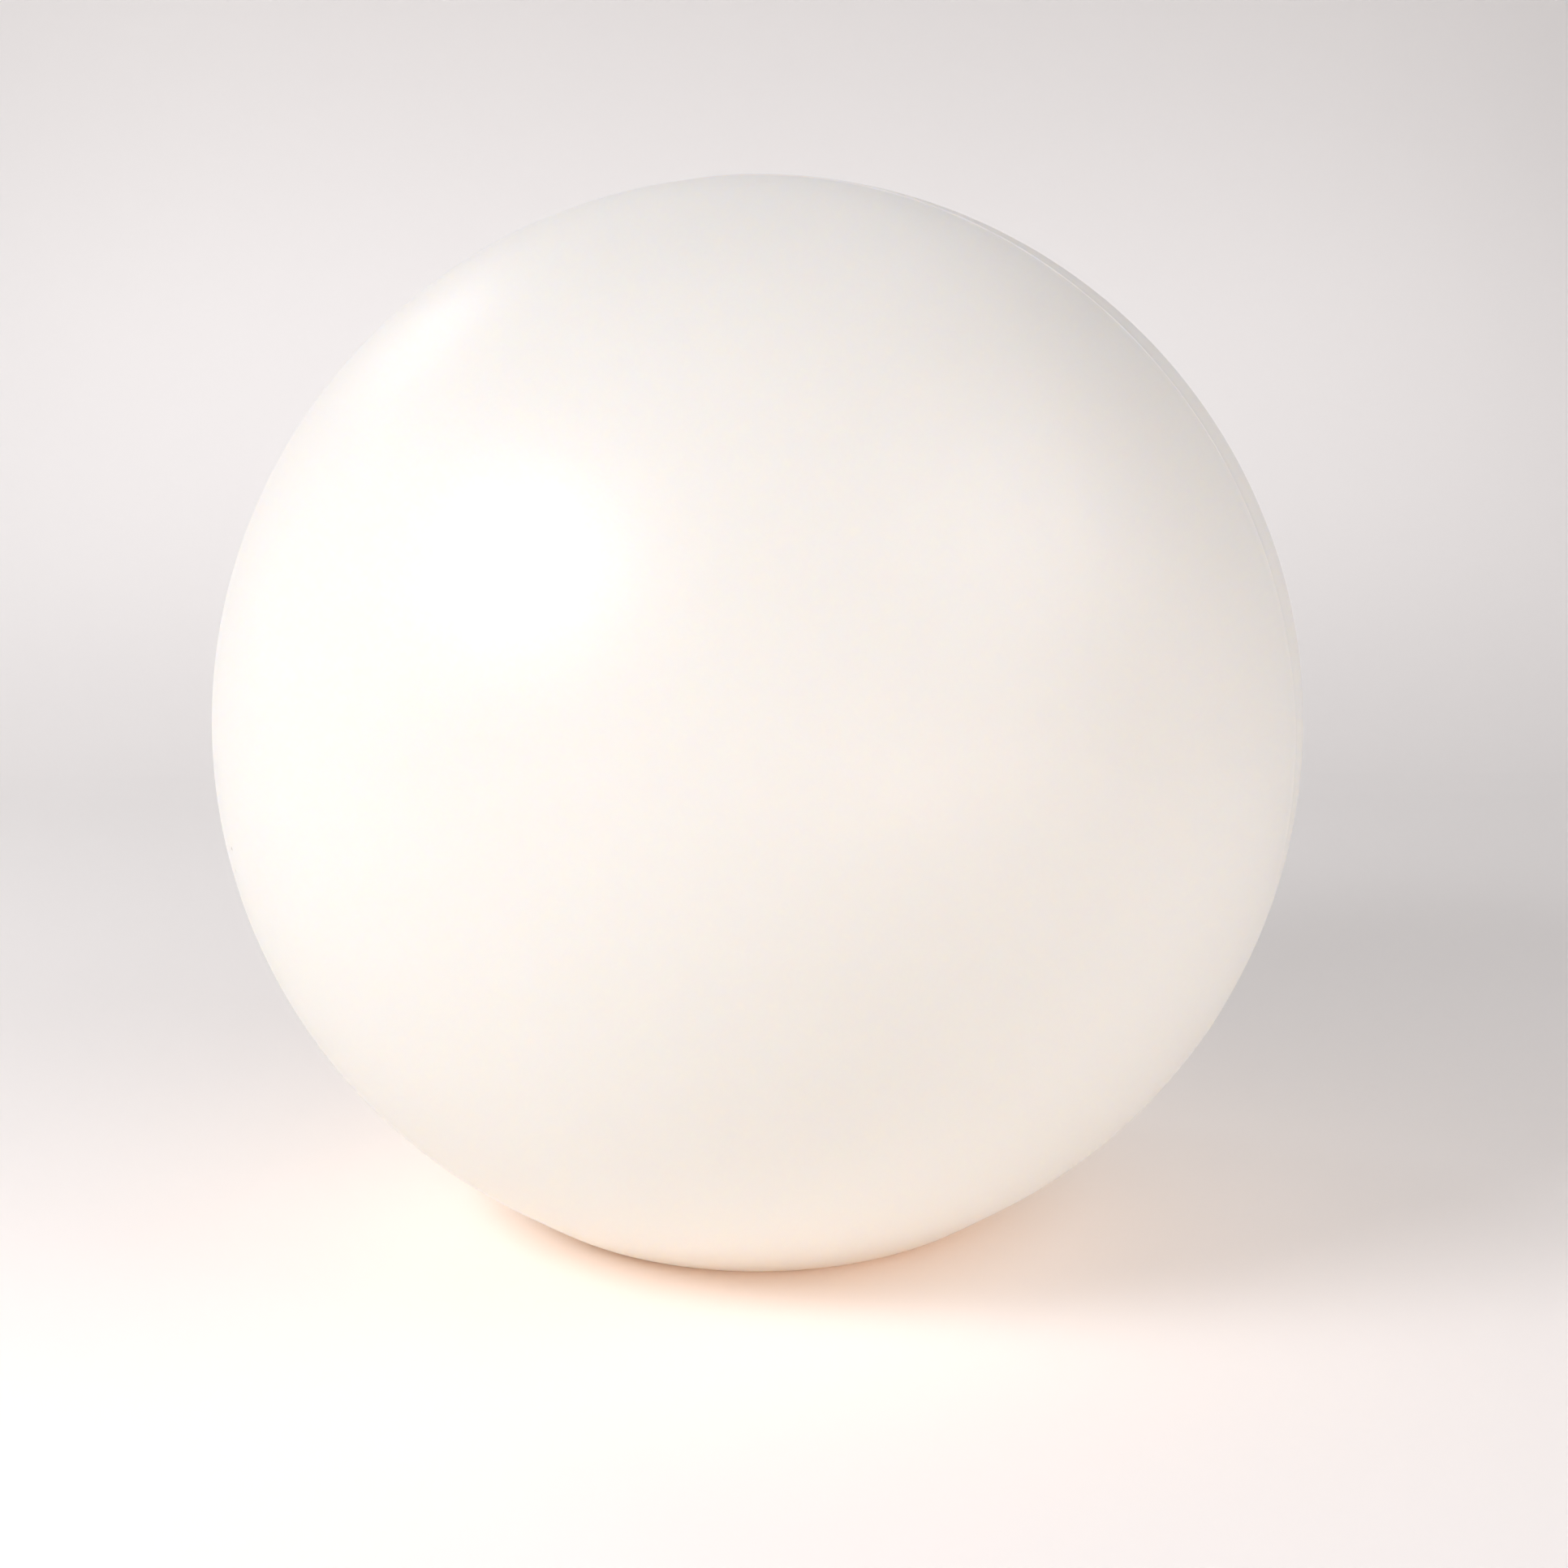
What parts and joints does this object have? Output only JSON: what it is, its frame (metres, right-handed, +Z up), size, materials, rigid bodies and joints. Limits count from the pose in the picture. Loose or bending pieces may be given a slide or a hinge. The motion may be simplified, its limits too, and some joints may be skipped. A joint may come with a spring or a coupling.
{
  "type": "ball light",
  "caption": "Free-standing translucent moulded ball light on its own low foot, with a sealed rechargeable light engine screwed up into its underside.",
  "frame": {"origin": "on the floor, at the middle of the foot ring and under the ball's centre", "axes": "+Z up along the ball's vertical axis; -Y is the front, where the picture was taken from; +Y is the back, the side of the charging socket"},
  "size_m": [0.4, 0.3998, 0.3851],
  "materials": {
    "globe": "satin translucent polyethylene, rotomoulded, with a fine orange-peel grain",
    "brass": "turned brass",
    "gasket": "dark silicone",
    "housing": "light grey-white moulded plastic, fine texture",
    "screw": "stainless steel",
    "button": "dark grey moulded plastic",
    "boot": "grey silicone",
    "board": "green circuit board",
    "switch": "black switch body",
    "indicator": "small indicator chip",
    "light_pipe": "clear acrylic",
    "socket": "black socket",
    "cap": "dark silicone",
    "cradle": "black moulded plastic",
    "cell": "steel can in a blue shrink sleeve",
    "nickel": "nickel strip",
    "clamp": "light moulded plastic",
    "components": "dark electronic parts",
    "connector": "off-white connector plastic",
    "spreader": "brushed aluminium",
    "led_board": "white-masked metal-core board",
    "led": "chip with a yellow-white window",
    "receiver": "dark infrared lens",
    "dome": "frosted polycarbonate",
    "lead_red": "red lead sleeve",
    "lead_white": "white lead sleeve",
    "lead_black": "black lead sleeve"
  },
  "bodies": {
    "lamp": {"globe_shell": "globe", "shell_inserts": "brass", "base_gasket": "gasket", "base_housing": "housing", "base_screws": "screw", "switch_boot": "boot", "switch_board": "board", "tact_switches": "switch", "indicator_chip": "indicator", "switch_board_screws": "screw", "light_pipe": "light_pipe", "charge_socket": "socket", "socket_nut": "screw", "cap_anchor": "cap", "battery_cradle": "cradle", "battery_cells": "cell", "cell_strips": "nickel", "battery_clamp": "clamp", "clamp_screws": "screw", "main_board": "board", "board_parts": "components", "board_connectors": "connector", "main_board_screws": "screw", "rim_gasket": "gasket", "heat_spreader": "spreader", "led_board": "led_board", "led_chips": "led", "ir_receiver": "receiver", "led_board_screws": "screw", "diffuser_dome": "dome", "dome_screws": "screw", "battery_leads": "lead_red", "switch_leads": "lead_white", "charge_leads": "lead_black", "led_leads": "lead_white"},
    "power_button": {"power_button": "button"},
    "mode_button": {"mode_button": "button"},
    "charge_cap": {"charge_cap": "cap"}
  },
  "joints": [
    {"name": "power_button_press", "type": "slide", "parent": "lamp", "child": "power_button", "axis": [0, 0, 1], "range_m": [0, 0.0012], "stiffness_N_per_m": 900},
    {"name": "mode_button_press", "type": "slide", "parent": "lamp", "child": "mode_button", "axis": [0, 0, 1], "range_m": [0, 0.0012], "stiffness_N_per_m": 900},
    {"name": "charge_cap_swing", "type": "hinge", "parent": "lamp", "child": "charge_cap", "pos_m": [0, 0.0325, 0.0185], "axis": [1, 0, 0], "range_deg": [0, 110]}
  ]
}
